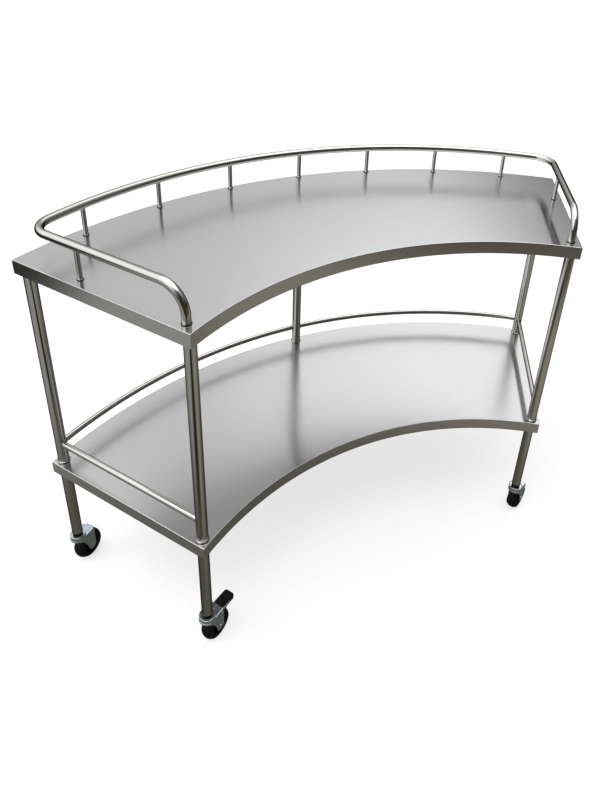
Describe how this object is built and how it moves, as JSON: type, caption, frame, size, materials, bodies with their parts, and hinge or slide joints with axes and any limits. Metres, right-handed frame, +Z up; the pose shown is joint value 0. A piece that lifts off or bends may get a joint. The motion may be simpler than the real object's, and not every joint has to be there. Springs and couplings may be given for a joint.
{
  "type": "instrument trolley",
  "caption": "Curved two-shelf stainless steel trolley with folded-edge trays, a railed top shelf, tube legs and swivel castors with foot brakes.",
  "frame": {"origin": "on the floor, under the middle of the bounding box", "axes": "+Z up, +X to the right of a user who stands in the hollow of the curve and looks along +Y, which points to the outer, rear side"},
  "size_m": [1.44, 0.6378, 0.981],
  "materials": {
    "brushed_stainless_sheet": "brushed, satin",
    "polished_stainless_tube": "polished",
    "zinc_plated_steel": "bright zinc plating",
    "dark_oiled_steel": "dark, oiled",
    "black_plastic": "moulded, satin",
    "black_rubber": "smooth"
  },
  "bodies": {
    "frame": {"baluster_1": "polished_stainless_tube", "baluster_2": "polished_stainless_tube", "baluster_3": "polished_stainless_tube", "baluster_4": "polished_stainless_tube", "baluster_5": "polished_stainless_tube", "baluster_6": "polished_stainless_tube", "baluster_7": "polished_stainless_tube", "baluster_8": "polished_stainless_tube", "baluster_9": "polished_stainless_tube", "castor_stem_fl": "dark_oiled_steel", "castor_stem_fr": "dark_oiled_steel", "castor_stem_rl": "dark_oiled_steel", "castor_stem_rm": "dark_oiled_steel", "castor_stem_rr": "dark_oiled_steel", "leg_front_left": "polished_stainless_tube", "leg_front_right": "polished_stainless_tube", "leg_plug_fl": "black_plastic", "leg_plug_fr": "black_plastic", "leg_plug_rl": "black_plastic", "leg_plug_rm": "black_plastic", "leg_plug_rr": "black_plastic", "leg_rear_left": "polished_stainless_tube", "leg_rear_middle": "polished_stainless_tube", "leg_rear_right": "polished_stainless_tube", "lower_shelf": "brushed_stainless_sheet", "rail_foot_ring_left": "polished_stainless_tube", "rail_foot_ring_right": "polished_stainless_tube", "rear_rod_left": "polished_stainless_tube", "rear_rod_right": "polished_stainless_tube", "side_rod_left": "polished_stainless_tube", "side_rod_right": "polished_stainless_tube", "top_rail": "polished_stainless_tube", "top_shelf": "brushed_stainless_sheet"},
    "fork_fl": {"castor_fork_fl": "zinc_plated_steel", "castor_axle_fl": "zinc_plated_steel", "brake_pin_fl": "zinc_plated_steel"},
    "wheel_fl": {"wheel_hub_fl": "black_plastic", "wheel_tyre_fl": "black_rubber"},
    "brake_fl": {"brake_lever_fl": "zinc_plated_steel", "brake_pad_fl": "black_plastic"},
    "fork_fr": {"castor_fork_fr": "zinc_plated_steel", "castor_axle_fr": "zinc_plated_steel"},
    "wheel_fr": {"wheel_hub_fr": "black_plastic", "wheel_tyre_fr": "black_rubber"},
    "fork_rl": {"castor_fork_rl": "zinc_plated_steel", "castor_axle_rl": "zinc_plated_steel"},
    "wheel_rl": {"wheel_hub_rl": "black_plastic", "wheel_tyre_rl": "black_rubber"},
    "fork_rr": {"castor_fork_rr": "zinc_plated_steel", "castor_axle_rr": "zinc_plated_steel", "brake_pin_rr": "zinc_plated_steel"},
    "wheel_rr": {"wheel_hub_rr": "black_plastic", "wheel_tyre_rr": "black_rubber"},
    "brake_rr": {"brake_lever_rr": "zinc_plated_steel", "brake_pad_rr": "black_plastic"},
    "fork_rm": {"castor_fork_rm": "zinc_plated_steel", "castor_axle_rm": "zinc_plated_steel"},
    "wheel_rm": {"wheel_hub_rm": "black_plastic", "wheel_tyre_rm": "black_rubber"}
  },
  "joints": [
    {"name": "swivel_fl", "type": "hinge", "parent": "frame", "child": "fork_fl", "pos_m": [-0.45911, -0.29099, 0.087], "axis": [0, 0, 1], "continuous": true},
    {"name": "roll_fl", "type": "hinge", "parent": "fork_fl", "child": "wheel_fl", "pos_m": [-0.43898, -0.27792, 0.0375], "axis": [-0.5446, 0.8387, 0], "continuous": true},
    {"name": "brake_fl", "type": "hinge", "parent": "fork_fl", "child": "brake_fl", "pos_m": [-0.43395, -0.27465, 0.07715], "axis": [-0.5446, 0.8387, 0], "range_deg": [0, 12]},
    {"name": "swivel_fr", "type": "hinge", "parent": "frame", "child": "fork_fr", "pos_m": [0.45911, -0.29099, 0.087], "axis": [0, 0, 1], "continuous": true},
    {"name": "roll_fr", "type": "hinge", "parent": "fork_fr", "child": "wheel_fr", "pos_m": [0.48103, -0.28123, 0.0375], "axis": [-0.4067, 0.9135, 0], "continuous": true},
    {"name": "swivel_rl", "type": "hinge", "parent": "frame", "child": "fork_rl", "pos_m": [-0.69379, 0.06306, 0.087], "axis": [0, 0, 1], "continuous": true},
    {"name": "roll_rl", "type": "hinge", "parent": "fork_rl", "child": "wheel_rl", "pos_m": [-0.67514, 0.07816, 0.0375], "axis": [-0.6293, 0.7771, 0], "continuous": true},
    {"name": "swivel_rr", "type": "hinge", "parent": "frame", "child": "fork_rr", "pos_m": [0.69379, 0.06306, 0.087], "axis": [0, 0, 1], "continuous": true},
    {"name": "roll_rr", "type": "hinge", "parent": "fork_rr", "child": "wheel_rr", "pos_m": [0.68253, 0.08425, 0.0375], "axis": [-0.8829, -0.4695, 0], "continuous": true},
    {"name": "brake_rr", "type": "hinge", "parent": "fork_rr", "child": "brake_rr", "pos_m": [0.67971, 0.08955, 0.07715], "axis": [-0.8829, -0.4695, 0], "range_deg": [0, 12]},
    {"name": "swivel_rm", "type": "hinge", "parent": "frame", "child": "fork_rm", "pos_m": [0, 0.2994, 0.087], "axis": [0, 0, 1], "continuous": true},
    {"name": "roll_rm", "type": "hinge", "parent": "fork_rm", "child": "wheel_rm", "pos_m": [0.02329, 0.29359, 0.0375], "axis": [0.2419, 0.9703, 0], "continuous": true}
  ]
}
